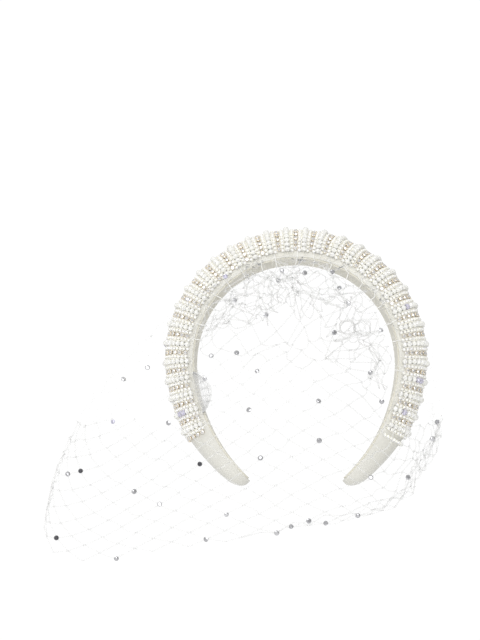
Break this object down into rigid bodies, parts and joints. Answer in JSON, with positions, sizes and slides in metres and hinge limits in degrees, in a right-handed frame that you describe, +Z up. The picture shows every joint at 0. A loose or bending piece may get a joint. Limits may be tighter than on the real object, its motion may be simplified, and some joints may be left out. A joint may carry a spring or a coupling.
{
  "type": "headband",
  "caption": "Padded satin headband wrapped crosswise in pearl, crystal and gold cup-chain rows, with an open diamond-net birdcage veil gathered at both arms.",
  "frame": {"origin": "on the lining's face at the crown, in the middle of the band's width, where the head carries it", "axes": "+X from the arm on the viewer's left to the one on the right, seen from the veil's side; -Y towards the veil and the face; +Z up through the crown"},
  "size_m": [0.2476, 0.0971, 0.2134],
  "materials": {
    "core_plastic": "moulded",
    "pad_foam": "open-cell foam",
    "ivory_satin": "satin weave",
    "lining_satin": "satin ribbon",
    "gold_cup_chain": "polished gold-plated cups with clear stones",
    "pearl_and_crystal": "pearl lustre and faceted clear beads",
    "veil_net": "knotted nylon net",
    "sewing_thread": "twisted thread"
  },
  "bodies": {
    "left_half": {"core_strip_left": "core_plastic", "foam_pad_left": "pad_foam", "satin_cover_left": "ivory_satin", "satin_lining_left": "lining_satin", "veil_net_left": "veil_net", "gather_tack_left": "sewing_thread", "bead_strand_left_1": "pearl_and_crystal", "bead_strand_left_2": "pearl_and_crystal", "bead_strand_left_3": "pearl_and_crystal", "gold_chain_row_01": "gold_cup_chain", "gold_chain_row_02": "gold_cup_chain", "gold_chain_row_03": "gold_cup_chain", "gold_chain_row_04": "gold_cup_chain", "gold_chain_row_05": "gold_cup_chain", "gold_chain_row_06": "gold_cup_chain", "gold_chain_row_07": "gold_cup_chain", "gold_chain_row_08": "gold_cup_chain", "gold_chain_row_09": "gold_cup_chain", "gold_chain_row_10": "gold_cup_chain", "gold_chain_row_11": "gold_cup_chain", "gold_chain_row_12": "gold_cup_chain", "gold_chain_row_13": "gold_cup_chain", "gold_chain_row_14": "gold_cup_chain", "gold_chain_row_15": "gold_cup_chain"},
    "right_half": {"core_strip_right": "core_plastic", "foam_pad_right": "pad_foam", "satin_cover_right": "ivory_satin", "satin_lining_right": "lining_satin", "veil_net_right": "veil_net", "gather_tack_right": "sewing_thread", "bead_strand_right_1": "pearl_and_crystal", "bead_strand_right_2": "pearl_and_crystal", "bead_strand_right_3": "pearl_and_crystal", "gold_chain_row_16": "gold_cup_chain", "gold_chain_row_17": "gold_cup_chain", "gold_chain_row_18": "gold_cup_chain", "gold_chain_row_19": "gold_cup_chain", "gold_chain_row_20": "gold_cup_chain", "gold_chain_row_21": "gold_cup_chain", "gold_chain_row_22": "gold_cup_chain", "gold_chain_row_23": "gold_cup_chain", "gold_chain_row_24": "gold_cup_chain", "gold_chain_row_25": "gold_cup_chain", "gold_chain_row_26": "gold_cup_chain", "gold_chain_row_27": "gold_cup_chain", "gold_chain_row_28": "gold_cup_chain", "gold_chain_row_29": "gold_cup_chain", "gold_chain_row_30": "gold_cup_chain"}
  },
  "joints": [
    {"name": "band_flex", "type": "hinge", "parent": "left_half", "child": "right_half", "pos_m": [0, 0, 0.025], "axis": [0, -1, 0], "range_deg": [0, 18], "stiffness_Nm_per_rad": 1.4}
  ]
}
